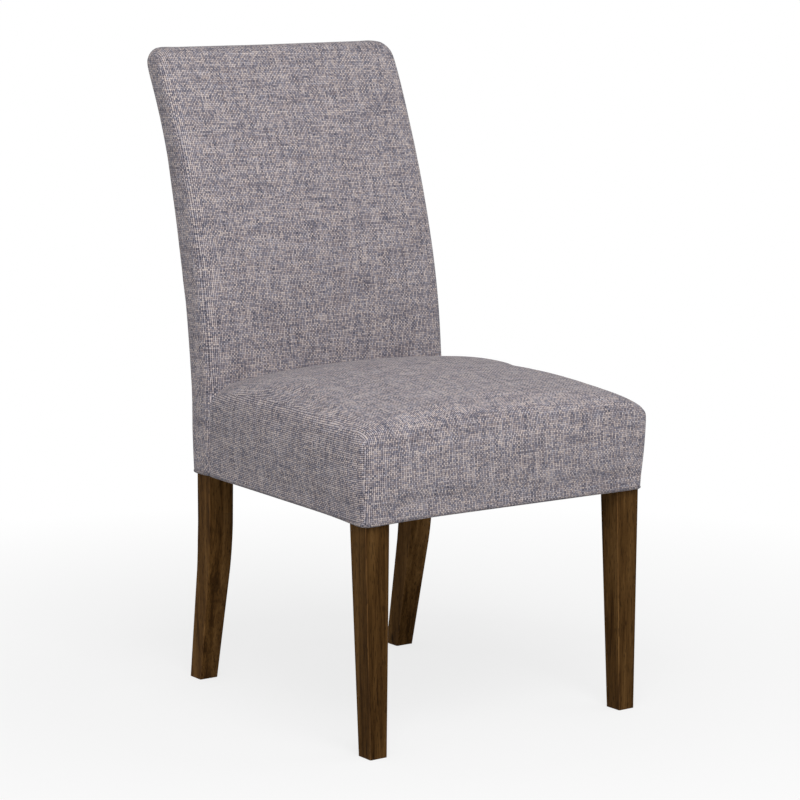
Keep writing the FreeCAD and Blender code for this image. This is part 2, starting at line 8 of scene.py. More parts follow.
import bmesh
import bpy
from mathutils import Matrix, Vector


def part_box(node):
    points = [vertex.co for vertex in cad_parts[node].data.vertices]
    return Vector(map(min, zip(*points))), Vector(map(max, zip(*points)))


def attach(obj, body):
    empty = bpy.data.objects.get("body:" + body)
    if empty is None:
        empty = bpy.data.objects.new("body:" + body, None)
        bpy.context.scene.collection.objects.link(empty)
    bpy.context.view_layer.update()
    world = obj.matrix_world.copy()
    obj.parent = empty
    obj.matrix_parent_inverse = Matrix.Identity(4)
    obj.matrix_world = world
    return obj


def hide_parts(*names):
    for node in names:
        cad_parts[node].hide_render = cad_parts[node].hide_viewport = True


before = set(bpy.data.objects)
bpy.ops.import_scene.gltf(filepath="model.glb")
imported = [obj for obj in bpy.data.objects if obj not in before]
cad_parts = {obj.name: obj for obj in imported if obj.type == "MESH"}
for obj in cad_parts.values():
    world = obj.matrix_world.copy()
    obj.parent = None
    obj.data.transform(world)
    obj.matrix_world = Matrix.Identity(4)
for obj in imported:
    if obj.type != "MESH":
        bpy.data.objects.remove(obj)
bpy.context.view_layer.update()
print("nodes in the frame:", len(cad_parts))

# %% [markdown]
# The chair's own sizes come next. The upholstery is measured from the floor up and from the
# front of the seat to the rear. The frame gives the places that the solids decide: where the
# seat begins, how far the front feet reach, and how high the hem and the back's top are.

# %% Sizes of the upholstery
SEAT_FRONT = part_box("seat_cover")[0][1]
FOOT_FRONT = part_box("front_leg_left")[0][1]
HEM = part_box("bottom_welt")[0][2]
BACK_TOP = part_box("inside_back_cover")[1][2]
SEAT_DEPTH = 0.4695
SEAT_REAR = SEAT_FRONT + SEAT_DEPTH
BACK_DEPTH = 0.0645
BACK_REAR = SEAT_REAR + BACK_DEPTH
SEAT_HALF_FRONT = 0.2615
SEAT_HALF_REAR = 0.2295
BACK_HALF = 0.2335
print("hem", round(HEM, 4), "top", round(BACK_TOP, 4), "seat front", round(SEAT_FRONT, 4))

# %% [markdown]
# The camera stands where the photographer's stood: in front and to the left, a little above
# the seat. A long lens keeps the legs nearly parallel. Its place is a point on the chair plus
# a direction and a distance, which is easier to check than three loose coordinates.

# %% Camera
CAMERA_AZIMUTH = math.radians(-35.442)
CAMERA_ELEVATION = math.radians(8.318)
CAMERA_DISTANCE = 3.89664
CAMERA_LENS = 113.83
camera_target = Vector((-0.02627, FOOT_FRONT + 0.239584, 0.47784))


def camera_direction(azimuth, elevation):
    """Unit vector from the chair to the camera."""
    level = math.cos(elevation)
    return Vector((math.sin(azimuth) * level, -math.cos(azimuth) * level, math.sin(elevation)))


camera_data = bpy.data.cameras.new("camera")
camera_data.lens = CAMERA_LENS
camera_data.sensor_width = 36.0
camera_data.clip_end = 50.0
camera = bpy.data.objects.new("camera", camera_data)
bpy.context.scene.collection.objects.link(camera)
toward_camera = camera_direction(CAMERA_AZIMUTH, CAMERA_ELEVATION)
camera.location = camera_target + toward_camera * CAMERA_DISTANCE
camera.rotation_euler = (-toward_camera).to_track_quat("-Z", "Y").to_euler()
bpy.context.scene.camera = camera
print("camera at", [round(value, 3) for value in camera.location])

# %% [markdown]
# Every material here is worked out by nodes, so it has no seams and no fixed resolution. The
# graphs are long, and linking sockets one by one would hide what they do. Small helpers make a
# node, set its values, link it and hand back its output, so a graph reads like a formula.

# %% Node helpers
def new_material(name):
    """An empty material with its shader and its output, ready for more nodes."""
    material = bpy.data.materials.new(name)
    material.use_nodes = True
    nodes = material.node_tree.nodes
    return material, nodes, material.node_tree.links, nodes["Principled BSDF"]


def add_node(nodes, kind, values=(), **settings):
    """A node with some settings, and with values for its input sockets by name or number."""
    node = nodes.new(kind)
    for key, value in settings.items():
        setattr(node, key, value)
    for key, value in dict(values).items():
        node.inputs[key].default_value = value
    return node


def maths(nodes, links, operation, first, second=0.0, third=None):
    """A Math node's output; each operand is a socket or a number."""
    node = nodes.new("ShaderNodeMath")
    node.operation = operation
    for place, value in enumerate((first, second, third)):
        if value is None:
            continue
        if isinstance(value, (int, float)):
            node.inputs[place].default_value = value
        else:
            links.new(value, node.inputs[place])
    return node.outputs[0]


def ramp(nodes, links, factor, stops):
    """A colour ramp over a factor; stops are (place, (red, green, blue))."""
    node = nodes.new("ShaderNodeValToRGB")
    elements = node.color_ramp.elements
    while len(elements) < len(stops):
        elements.new(0.5)
    for element, (place, colour) in zip(elements, stops):
        element.position = place
        element.color = (*colour, 1.0)
    links.new(factor, node.inputs[0])
    return node.outputs[0]


MIX_SOCKETS = {"FLOAT": (2, 3, 0), "RGBA": (6, 7, 2)}


def blend(nodes, links, factor, first, second, kind="RGBA"):
    """A Mix node's output; the node keeps its own two sockets for each kind of value."""
    node = nodes.new("ShaderNodeMix")
    node.data_type = kind
    first_place, second_place, result = MIX_SOCKETS[kind]
    links.new(factor, node.inputs[0])
    for place, value in ((first_place, first), (second_place, second)):
        if isinstance(value, tuple):
            node.inputs[place].default_value = value
        else:
            links.new(value, node.inputs[place])
    return node.outputs[result]


print("kinds of mix:", ", ".join(MIX_SOCKETS))

# %% [markdown]
# A product photograph has one large soft lamp high in front, a weaker fill and a pale floor.
# The floor and the world look white to the camera only, so the background stays clean while
# the lamps stay at a level at which a colour looks as it is written. Round the chair the floor
# keeps a quarter of its own shading, which is the shadow, and loses it farther out.

# %% Studio
def white_to_camera(nodes, links, shader_output, share=1.0):
    """Mixes a shader with plain white light that only camera, mirror and glass rays see."""
    path = nodes.new("ShaderNodeLightPath")
    seen = maths(nodes, links, "MAXIMUM", path.outputs["Is Camera Ray"], path.outputs["Is Glossy Ray"])
    seen = maths(nodes, links, "MAXIMUM", seen, path.outputs["Is Transmission Ray"])
    white = add_node(nodes, "ShaderNodeEmission", {"Color": (1, 1, 1, 1), "Strength": 1.0})
    mix = nodes.new("ShaderNodeMixShader")
    links.new(maths(nodes, links, "MULTIPLY", seen, share), mix.inputs[0])
    links.new(shader_output, mix.inputs[1])
    links.new(white.outputs[0], mix.inputs[2])
    return mix.outputs[0]


FILL_STRENGTH = 0.42
FLOOR_SIZE = 30.0
FLOOR_FADE = {"From Min": 0.5, "From Max": 1.6, "To Min": 0.76, "To Max": 1.0}
LAMPS = (
    ("key_lamp", (-0.7, -1.65, 2.3), 1.6, 41.5),
    ("left_lamp", (-3.0, -0.9, 1.9), 2.0, 9.0),
    ("right_lamp", (2.8, -1.8, 1.6), 1.8, 12.0),
)

world = bpy.data.worlds.new("studio")
bpy.context.scene.world = world
world.use_nodes = True
world_nodes, world_links = world.node_tree.nodes, world.node_tree.links
fill_light = world_nodes["Background"]
fill_light.inputs["Color"].default_value = (1.0, 1.0, 1.0, 1.0)
fill_light.inputs["Strength"].default_value = FILL_STRENGTH
world_seen = white_to_camera(world_nodes, world_links, fill_light.outputs[0])
world_links.new(world_seen, world_nodes["World Output"].inputs[0])

floor_material, floor_nodes, floor_links, floor_shader = new_material("pale_floor")
floor_shader.inputs["Base Color"].default_value = (0.80, 0.80, 0.80, 1.0)
floor_shader.inputs["Roughness"].default_value = 0.9
floor_shader.inputs["Specular IOR Level"].default_value = 0.0
floor_place = floor_nodes.new("ShaderNodeTexCoord")
floor_distance = add_node(floor_nodes, "ShaderNodeVectorMath", operation="LENGTH")
floor_links.new(floor_place.outputs["Object"], floor_distance.inputs[0])
floor_fade = add_node(floor_nodes, "ShaderNodeMapRange", FLOOR_FADE)
floor_links.new(floor_distance.outputs["Value"], floor_fade.inputs["Value"])
floor_seen = white_to_camera(floor_nodes, floor_links, floor_shader.outputs[0], floor_fade.outputs[0])
floor_links.new(floor_seen, floor_nodes["Material Output"].inputs[0])
floor_mesh = bpy.data.meshes.new("floor")
floor_sheet = bmesh.new()
bmesh.ops.create_grid(floor_sheet, x_segments=1, y_segments=1, size=FLOOR_SIZE)
floor_sheet.to_mesh(floor_mesh)
floor_sheet.free()
floor_mesh.materials.append(floor_material)
floor = bpy.data.objects.new("floor", floor_mesh)
bpy.context.scene.collection.objects.link(floor)


LAMP_AIM = Vector((0.0, 0.0, 0.6))


def soft_lamp(name, place, size, power):
    """A square area lamp that looks at the middle of the chair."""
    data = bpy.data.lights.new(name, "AREA")
    data.energy = power
    data.size = size
    lamp = bpy.data.objects.new(name, data)
    bpy.context.scene.collection.objects.link(lamp)
    lamp.location = place
    aim = LAMP_AIM - lamp.location
    lamp.rotation_euler = aim.to_track_quat("-Z", "Y").to_euler()


for lamp_name, place, size, power in LAMPS:
    soft_lamp(lamp_name, place, size, power)
bpy.context.scene.view_settings.view_transform = "Standard"
print("lamps:", len(LAMPS))

# %% [markdown]
# The cover is a plain weave of slub yarns: grey lilac with beige and pinkish threads, with the
# gaps between them painted dark as a painted shade. It could be an image, but threads worked out
# from the cloth's own UV map, in metres, stay sharp at any size and follow the cloth over the roll
# of the seat. The map is cut into cells one yarn wide. Weft and warp lie on top by turns, like the
# squares of a chessboard.
# Each yarn takes a slowly changing tone of its own, which makes the long slub streaks.

# %% Cover cloth
YARN = 0.0029
YARN_CHANGE = 2.3
WEFT_CHANGE, WARP_CHANGE = 20.0, 26.0
WANDER = 0.0022
SLUB_BANDS = ((7.0, 42.0, 0.16), (14.0, 130.0, 0.22), (120.0, 10.0, 0.16))


def yarn_tone(nodes, links, run, number, stretch):
    """A tone that changes slowly along a yarn and from each yarn to the next."""
    place = nodes.new("ShaderNodeCombineXYZ")
    links.new(maths(nodes, links, "MULTIPLY", run, stretch), place.inputs[0])
    links.new(maths(nodes, links, "MULTIPLY", number, YARN_CHANGE), place.inputs[1])
    noise = add_node(nodes, "ShaderNodeTexNoise", {"Scale": 1.0, "Detail": 2.5, "Roughness": 0.6})
    links.new(place.outputs[0], noise.inputs["Vector"])
    return noise.outputs["Fac"]


def vector_step(nodes, links, operation, source, value=None):
    """A Vector Math node's output for one linked vector and an optional constant."""
    node = nodes.new("ShaderNodeVectorMath")
    node.operation = operation
    links.new(source, node.inputs[0])
    if value is not None:
        node.inputs[1].default_value = value
    return node.outputs[0]


def split(nodes, links, source):
    """The first two parts of a vector."""
    node = nodes.new("ShaderNodeSeparateXYZ")
    links.new(source, node.inputs[0])
    return node.outputs[0], node.outputs[1]


def tinted(stops, share):
    """The stops of a colour ramp with each colour scaled by a share."""
    return [(place, tuple(share * part for part in colour)) for place, colour in stops]


def shifted(nodes, links, tone, source, amount, base):
    """A tone plus a source that is scaled by an amount and moved by a base."""
    change = maths(nodes, links, "MULTIPLY_ADD", source, amount, base)
    return maths(nodes, links, "ADD", tone, change)


COOL_YARN = [
    (0.00, (0.044, 0.046, 0.066)),
    (0.35, (0.145, 0.141, 0.180)),
    (0.60, (0.277, 0.264, 0.312)),
    (1.00, (0.515, 0.500, 0.555)),
]
WARM_YARN = [
    (0.00, (0.060, 0.048, 0.052)),
    (0.35, (0.190, 0.155, 0.162)),
    (0.60, (0.355, 0.292, 0.288)),
    (1.00, (0.630, 0.545, 0.505)),
]


def cover_cloth(name, painted_lightness):
    """Slub cloth; painted_lightness 1 is the cover, less paints shade on the bead, more paints a
    highlight on the folds.
    """
    material, nodes, links, shader = new_material(name)
    uv = add_node(nodes, "ShaderNodeUVMap", uv_map="weave")
    wander = add_node(nodes, "ShaderNodeTexNoise", {"Scale": 14.0, "Detail": 2.0})
    links.new(uv.outputs[0], wander.inputs["Vector"])
    moved = nodes.new("ShaderNodeVectorMath")
    moved.operation = "MULTIPLY_ADD"
    links.new(wander.outputs["Color"], moved.inputs[0])
    moved.inputs[1].default_value = (WANDER, WANDER, 0.0)
    links.new(uv.outputs[0], moved.inputs[2])
    counted = vector_step(nodes, links, "MULTIPLY", moved.outputs[0], (1 / YARN, 1 / YARN, 0.0))
    cell = vector_step(nodes, links, "FLOOR", counted)
    warp_number, weft_number = split(nodes, links, cell)
    across_warp, across_weft = split(nodes, links, vector_step(nodes, links, "FRACTION", counted))
    along, up = split(nodes, links, moved.outputs[0])
    weft = yarn_tone(nodes, links, along, weft_number, WEFT_CHANGE)
    warp = yarn_tone(nodes, links, up, warp_number, WARP_CHANGE)
    both = maths(nodes, links, "ADD", warp_number, weft_number)
    turn = maths(nodes, links, "FLOORED_MODULO", both, 2.0)
    lift = maths(nodes, links, "MULTIPLY_ADD", turn, -0.16, 0.08)
    top = blend(nodes, links, turn, weft, warp, "FLOAT")
    chance = add_node(nodes, "ShaderNodeTexWhiteNoise", noise_dimensions="2D")
    links.new(cell, chance.inputs["Vector"])
    round_warp = maths(nodes, links, "SINE", maths(nodes, links, "MULTIPLY", across_warp, math.pi))
    round_weft = maths(nodes, links, "SINE", maths(nodes, links, "MULTIPLY", across_weft, math.pi))
    height = maths(nodes, links, "MULTIPLY", round_warp, round_weft)
    beside_warp = maths(nodes, links, "SUBTRACT", 1.0, round_warp)
    beside_weft = maths(nodes, links, "MULTIPLY_ADD", round_weft, -0.75, 1.0)
    painted_gap_shade = maths(nodes, links, "MULTIPLY", beside_warp, beside_weft)
    # The yarn on top gives the tone. Chance lifts or lowers each crossing, and gaps get a painted
    # shade.
    tone = maths(nodes, links, "MULTIPLY_ADD", top, 1.5, -0.26)
    tone = maths(nodes, links, "ADD", tone, lift)
    tone = shifted(nodes, links, tone, chance.outputs["Value"], 0.36, -0.18)
    tone = shifted(nodes, links, tone, painted_gap_shade, -1.65, 0.312)
    for run, rise, amount in SLUB_BANDS:
        band = add_node(nodes, "ShaderNodeTexNoise", {"Scale": 1.0, "Detail": 2.0})
        drawn_out = vector_step(nodes, links, "MULTIPLY", uv.outputs[0], (run, rise, 0.0))
        links.new(drawn_out, band.inputs["Vector"])
        tone = shifted(nodes, links, tone, band.outputs["Fac"], amount, -amount / 2)
    cool = ramp(nodes, links, tone, tinted(COOL_YARN, painted_lightness))
    warm = ramp(nodes, links, tone, tinted(WARM_YARN, painted_lightness))
    warmth = split(nodes, links, chance.outputs["Color"])[0]
    links.new(blend(nodes, links, warmth, cool, warm), shader.inputs["Base Color"])
    bump = add_node(nodes, "ShaderNodeBump", {"Strength": 0.45, "Distance": 0.0006})
    links.new(height, bump.inputs["Height"])
    links.new(bump.outputs[0], shader.inputs["Normal"])
    shader.inputs["Roughness"].default_value = 0.92
    shader.inputs["Specular IOR Level"].default_value = 0.2
    shader.inputs["Sheen Weight"].default_value = 0.08
    shader.inputs["Sheen Roughness"].default_value = 0.5
    return material


cloth = cover_cloth("slub_cloth", 1.0)
# The bead's copy of the cloth is darker: a painted shade where the bead turns under.
bead_cloth_painted_shade = cover_cloth("slub_cloth_bead_painted_shade", 0.68)
# The folds' copy of the cloth is lighter: a painted highlight on the sewn folds.
fold_cloth_painted_highlight = cover_cloth("slub_cloth_fold_painted_highlight", 1.25)
print("cloth materials:", cloth.name, bead_cloth_painted_shade.name, fold_cloth_painted_highlight.name)

# %% [markdown]
# The legs are stained dark walnut, with the grain running up the leg, small dark knots and
# nicks, and paler corners: stain rubbed thin there, and a painted highlight on the eased edges.
# Bare wood inside the chair is pale and sawn. One recipe makes them all: long streaks of noise
# through a colour ramp, with dark pores and knots on top. The rear legs stand in the chair's own
# shade, so their wood is painted lighter, a painted light that lifts that shade.

# %% Wood
def grain_place(nodes, links, source, grain_axis, across, along):
    """Coordinates that are stretched along the grain."""
    scale = [across, across, across]
    scale[grain_axis] = along
    return vector_step(nodes, links, "MULTIPLY", source, scale)


def wood(name, stops, grain_axis, roughness, marks, gloss):
    """Wood whose grain runs along one axis of the chair: 0 is X, 1 is Y and 2 is Z."""
    material, nodes, links, shader = new_material(name)
    place = nodes.new("ShaderNodeTexCoord").outputs["Object"]
    uneven = {"Scale": 1.0, "Detail": 5.0, "Roughness": 0.6, "Distortion": 0.8}
    bands = add_node(nodes, "ShaderNodeTexNoise", uneven)
    links.new(grain_place(nodes, links, place, grain_axis, 62.0, 3.2), bands.inputs["Vector"])
    fibres = add_node(nodes, "ShaderNodeTexNoise", {"Scale": 1.0, "Detail": 3.0, "Roughness": 0.7})
    links.new(grain_place(nodes, links, place, grain_axis, 520.0, 16.0), fibres.inputs["Vector"])
    tone = maths(nodes, links, "MULTIPLY_ADD", fibres.outputs["Fac"], 0.5, -0.25)
    tone = maths(nodes, links, "ADD", bands.outputs["Fac"], tone)
    colour = ramp(nodes, links, tone, stops)
    pores = add_node(nodes, "ShaderNodeTexNoise", {"Scale": 1.0, "Detail": 1.0})
    links.new(grain_place(nodes, links, place, grain_axis, 640.0, 75.0), pores.inputs["Vector"])
    pore_range = {"From Min": 0.58, "From Max": 0.68, "To Min": 0.0, "To Max": 0.6}
    pore = add_node(nodes, "ShaderNodeMapRange", pore_range)
    links.new(pores.outputs["Fac"], pore.inputs["Value"])
    cells = add_node(nodes, "ShaderNodeTexVoronoi", {"Scale": 1.0, "Randomness": 1.0})
    links.new(grain_place(nodes, links, place, grain_axis, 24.0, 10.0), cells.inputs["Vector"])
    ragged = maths(nodes, links, "MULTIPLY_ADD", fibres.outputs["Fac"], 0.10, -0.05)
    ragged = maths(nodes, links, "ADD", cells.outputs["Distance"], ragged)
    knot_range = {"From Min": 0.05, "From Max": 0.12, "To Min": marks, "To Max": 0.0}
    knot = add_node(nodes, "ShaderNodeMapRange", knot_range)
    links.new(ragged, knot.inputs["Value"])
    dark = maths(nodes, links, "MAXIMUM", pore.outputs[0], knot.outputs[0])
    ink = (*[0.3 * part for part in stops[0][1]], 1.0)
    links.new(blend(nodes, links, dark, colour, ink), shader.inputs["Base Color"])
    bump = add_node(nodes, "ShaderNodeBump", {"Strength": 0.3, "Distance": 0.0003})
    links.new(tone, bump.inputs["Height"])
    links.new(bump.outputs[0], shader.inputs["Normal"])
    rough = maths(nodes, links, "MULTIPLY_ADD", fibres.outputs["Fac"], 0.16, roughness - 0.08)
    links.new(rough, shader.inputs["Roughness"])
    shader.inputs["Specular IOR Level"].default_value = gloss
    return material


STAIN = [
    (0.34, (0.030, 0.0130, 0.0032)),
    (0.45, (0.062, 0.0290, 0.0080)),
    (0.56, (0.088, 0.0430, 0.0125)),
    (0.70, (0.128, 0.0660, 0.0215)),
]
SAWN = [
    (0.25, (0.40, 0.26, 0.13)),
    (0.50, (0.55, 0.38, 0.21)),
    (0.75, (0.68, 0.50, 0.31)),
]
stained_wood = wood("stained_wood_face", STAIN, 2, 0.55, 0.85, 0.02)
# The rear legs' wood is 1.3 times lighter: painted light against the chair's own shade.
rear_wood_painted_lighter = wood("stained_wood_rear_painted_lighter", tinted(STAIN, 1.3), 2, 0.55, 0.85, 0.02)
# The corner wood is paler: stain rubbed thin, and a painted highlight on the eased edges.
rubbed_and_highlit_wood = wood("stained_wood_corner_rubbed_and_highlit", tinted(STAIN, 1.6), 2, 0.45, 0.4, 0.08)
sawn_along_x = wood("sawn_wood_x", SAWN, 0, 0.75, 0.3, 0.1)
sawn_along_y = wood("sawn_wood_y", SAWN, 1, 0.75, 0.3, 0.1)
print("woods:", stained_wood.name, rear_wood_painted_lighter.name, rubbed_and_highlit_wood.name, sawn_along_x.name)

# %% [markdown]
# Inside the chair are materials that a buyer never sees: jute webbing, grey board and a black
# lining under the seat. Each still gets its own fibre, because the seat is also looked at from
# below and a repairer opens it. They share one recipe: two sets of fine threads or fibres.

# %% Jute, board and lining
def fibre_material(name, dark, light, pitch, roughness, depth):
    """Crossed fine threads in the chair's own coordinates, with uneven colour."""
    material, nodes, links, shader = new_material(name)
    place = nodes.new("ShaderNodeTexCoord")
    parts = nodes.new("ShaderNodeSeparateXYZ")
    links.new(place.outputs["Object"], parts.inputs[0])
    turn = 2 * math.pi / pitch
    tall = maths(nodes, links, "ADD", parts.outputs[1], parts.outputs[2])
    first = maths(nodes, links, "SINE", maths(nodes, links, "MULTIPLY", parts.outputs[0], turn))
    second = maths(nodes, links, "SINE", maths(nodes, links, "MULTIPLY", tall, turn))
    threads = maths(nodes, links, "MULTIPLY", first, second)
    patches = {"Scale": 1.1 / pitch, "Detail": 4.0, "Roughness": 0.7}
    uneven = add_node(nodes, "ShaderNodeTexNoise", patches)
    links.new(place.outputs["Object"], uneven.inputs["Vector"])
    value = maths(nodes, links, "MULTIPLY_ADD", threads, 0.22, uneven.outputs["Fac"])
    links.new(ramp(nodes, links, value, [(0.25, dark), (0.75, light)]), shader.inputs["Base Color"])
    bump = add_node(nodes, "ShaderNodeBump", {"Strength": 0.5, "Distance": depth})
    links.new(value, bump.inputs["Height"])
    links.new(bump.outputs[0], shader.inputs["Normal"])
    shader.inputs["Roughness"].default_value = roughness
    return material


JUTE_DARK, JUTE_LIGHT = (0.22, 0.15, 0.08), (0.50, 0.38, 0.22)
BOARD_DARK, BOARD_LIGHT = (0.30, 0.24, 0.17), (0.50, 0.42, 0.31)
BLACK_DARK, BLACK_LIGHT = (0.010, 0.010, 0.011), (0.045, 0.045, 0.048)
jute = fibre_material("jute_webbing", JUTE_DARK, JUTE_LIGHT, 0.0024, 0.9, 0.0005)
board = fibre_material("grey_board", BOARD_DARK, BOARD_LIGHT, 0.006, 0.8, 0.0002)
lining = fibre_material("black_lining", BLACK_DARK, BLACK_LIGHT, 0.0016, 0.85, 0.0003)
print("inner materials:", jute.name, board.name, lining.name)

# %% [markdown]
# Both upholstered blocks start as a box, as the foam is cut on the bench. The box's edges are
# bevelled, a voxel remesh turns it into an even net of small faces, and then the points are
# moved by the block's own formula: taper, crown and lean. A light blow-up with Cloth, held at
# the hem and capped to a few millimetres, gives the fabric its soft, slightly full faces.

# %% Helpers for padded blocks
VOXEL = 0.006


def link_object(name, mesh):
    """A new object in the scene."""
    piece = bpy.data.objects.new(name, mesh)
    bpy.context.scene.collection.objects.link(piece)
    return piece


def applied(piece):
    """The piece with its modifiers made real."""
    graph = bpy.context.evaluated_depsgraph_get()
    shown = piece.evaluated_get(graph)
    mesh = bpy.data.meshes.new_from_object(shown, preserve_all_data_layers=True, depsgraph=graph)
    piece.modifiers.clear()
    piece.data = mesh
    return piece


def bevelled_box(low, high, roundings):
    """A box whose edges are rounded in turn; roundings are (radius, test of the edge's middle)."""
    box = bmesh.new()
    bmesh.ops.create_cube(box, size=1.0)
    size = Vector(high) - Vector(low)
    bmesh.ops.scale(box, vec=size, verts=box.verts)
    bmesh.ops.translate(box, vec=(Vector(high) + Vector(low)) / 2, verts=box.verts)
    for radius, wanted in roundings:
        edges = [edge for edge in box.edges if wanted((edge.verts[0].co + edge.verts[1].co) / 2)]
        bmesh.ops.bevel(box, geom=edges, offset=radius, offset_type="OFFSET", affect="EDGES",
                        segments=6, profile=0.5, material=-1, clamp_overlap=True)
    return box


def netted(name, box):
    """An even net of small faces over a bevelled box."""
    mesh = bpy.data.meshes.new(name)
    box.to_mesh(mesh)
    box.free()
    piece = link_object(name, mesh)
    remesh = piece.modifiers.new("net", "REMESH")
    remesh.mode = "VOXEL"
    remesh.voxel_size = VOXEL
    return applied(piece)


def smoothed(piece, rounds):
    """Evens out the steps that voxels leave."""
    net = bmesh.new()
    net.from_mesh(piece.data)
    for _ in range(rounds):
        bmesh.ops.smooth_vert(net, verts=net.verts, factor=0.5,
                              use_axis_x=True, use_axis_y=True, use_axis_z=True)
    net.to_mesh(piece.data)
    net.free()


INWARD_SHARE = 0.15
PRESSURE = 4.0
BLOW_FRAMES = 20


def kept_outward(move, place):
    """A move whose inward parts, toward the block's middle, are scaled down axis by axis."""
    parts = []
    for step, side in zip(move, place):
        parts.append(step if step * side >= 0 else step * INWARD_SHARE)
    return Vector(parts)


def puffed(piece, cap, hold):
    """Blows the piece up with Cloth and keeps each point within the cap times its hold, 0 to 1."""
    start = [vertex.co.copy() for vertex in piece.data.vertices]
    middle = sum(start, Vector()) / len(start)
    blow = piece.modifiers.new("blow", "CLOTH")
    settings = blow.settings
    settings.quality = 4
    settings.mass = 0.3
    settings.tension_stiffness = 12
    settings.bending_stiffness = 4
    settings.use_pressure = True
    settings.uniform_pressure_force = PRESSURE
    settings.effector_weights.gravity = 0.0
    blow.point_cache.frame_start = 1
    blow.point_cache.frame_end = BLOW_FRAMES
    scene = bpy.context.scene
    for number in range(1, BLOW_FRAMES + 1):
        scene.frame_set(number)
    applied(piece)
    scene.frame_set(1)
    for vertex, before in zip(piece.data.vertices, start):
        move = kept_outward(vertex.co - before, before - middle)
        limit = cap * hold(before)
        if move.length > limit:
            move = move * (limit / move.length)
        vertex.co = before + move


def step_between(value, low, high):
    """0 below the low value, 1 above the high one, and smooth between them."""
    share = min(max((value - low) / (high - low), 0.0), 1.0)
    return share * share * (3 - 2 * share)


def upholstered(name, box, shape, cap, hold):
    """A padded block from its box: net, shape, blow-up, and an underside pressed flat."""
    piece = netted(name, box)
    smoothed(piece, 2)
    for vertex in piece.data.vertices:
        vertex.co = shape(vertex.co)
    puffed(piece, cap, hold)
    smoothed(piece, 3)
    held_above_hem(piece)
    return piece


print("voxel", VOXEL)

# %% [markdown]
# The seat is a block 47 cm deep that narrows to the rear. Its top is crowned both ways, rolls
# down over the front, and falls away in a broad shoulder on each side, where the same cloth
# goes on down the side. A box with straight sides would look like a crate, so the walls also
# lean out a little from the hem to the rim. All of it is one formula that moves the points of
# the net, because a formula is easy to change and gives an even surface.

# %% Seat
SEAT_CROWN = 0.5238
CROWN_PLACE = 0.300
FRONT_FALL = 0.0250
REAR_FALL = 0.0148
FRONT_ROLL = 0.0065
FRONT_ROLL_REACH = 0.050
CROSS_DROP = 0.016
CROSS_HALF = 0.223
SHOULDER = 0.055
SHOULDER_DROP_FRONT = 0.0080
SHOULDER_DROP_REAR = 0.019
REAR_TILT = 0.0060
WALL_LEAN = 0.0065
FRONT_LEAN_REACH = 0.06


def seat_top(x_share, y, half):
    """Height of the seat's top above the floor at a share of its half width."""
    ahead = y < CROWN_PLACE
    fall, run = (FRONT_FALL, CROWN_PLACE) if ahead else (REAR_FALL, SEAT_DEPTH - CROWN_PLACE)
    along = fall * ((y - CROWN_PLACE) / run) ** 2
    roll = FRONT_ROLL * max(1 - y / FRONT_ROLL_REACH, 0.0) ** 2
    side = max(abs(x_share) * half - (half - SHOULDER), 0.0) / SHOULDER
    across = CROSS_DROP * (x_share * half / CROSS_HALF) ** 2
    aft = y / SEAT_DEPTH
    shoulder = SHOULDER_DROP_FRONT + (SHOULDER_DROP_REAR - SHOULDER_DROP_FRONT) * aft
    tilt = REAR_TILT * aft * x_share
    return SEAT_CROWN - along - roll - across - shoulder * side ** 2 + tilt


HEM_DIP = 0.003
HEM_DIP_REACH = 0.065
CLOTH_END = HEM + 0.0015
SEAT_BOX_TOP = 0.50


def hem_dip(x, y):
    """How far the hem hangs lower near the left front corner, as on the photographed chair."""
    away = math.hypot(x + SEAT_HALF_FRONT, y - SEAT_FRONT)
    return HEM_DIP * math.exp(-(away / HEM_DIP_REACH) ** 2)


def held_above_hem(piece):
    """Presses the block's rounded underside flat, so its walls stay straight down to the hem."""
    for vertex in piece.data.vertices:
        vertex.co.z = max(vertex.co.z, CLOTH_END - hem_dip(vertex.co.x, vertex.co.y))


def shape_seat(point):
    """Moves a point of the plain box to its place on the finished seat."""
    y = point.y - SEAT_FRONT
    share = point.x / SEAT_HALF_FRONT
    up = (point.z - HEM) / (SEAT_BOX_TOP - HEM)
    fore = 1 - min(max(y / SEAT_DEPTH, 0.0), 1.0)
    half = SEAT_HALF_FRONT + (SEAT_HALF_REAR - SEAT_HALF_FRONT) * (1 - fore)
    lean = WALL_LEAN * math.sin(min(up, 1.0) * math.pi / 2)
    top = seat_top(share, max(y, 0.0), half)
    front = step_between(FRONT_LEAN_REACH - y, 0.0, FRONT_LEAN_REACH)
    dip = hem_dip(point.x, point.y) * max(1 - up, 0.0)
    height = HEM + up * (top - HEM) - dip
    return Vector((share * (half + lean * fore), point.y - lean * front, height))


def seat_hold(point):
    """How freely the seat's cloth may move: not at the hem, nor where the back holds it."""
    above_hem = step_between(point.z, HEM + 0.004, HEM + 0.05)
    ahead_of_back = step_between(SEAT_REAR - point.y, -0.005, 0.16)
    return above_hem * ahead_of_back


UNDER_HEM = 0.012
SEAT_INTO_BACK = 0.012
FRONT_CORNER = 0.011
TOP_EDGE = 0.0145
NEAR = 0.001
BAND = 0.01
WALL_MIDDLE = 0.42
SEAT_PUFF = 0.004


def front_upright(middle):
    """True for the two upright edges at the front of the seat's box."""
    return middle.y < SEAT_FRONT + NEAR and abs(middle.z - WALL_MIDDLE) < 0.03


def top_edge(middle):
    """True for the edges round the top of the seat's box, apart from the rear one."""
    return middle.z > SEAT_BOX_TOP - NEAR and middle.y < SEAT_REAR


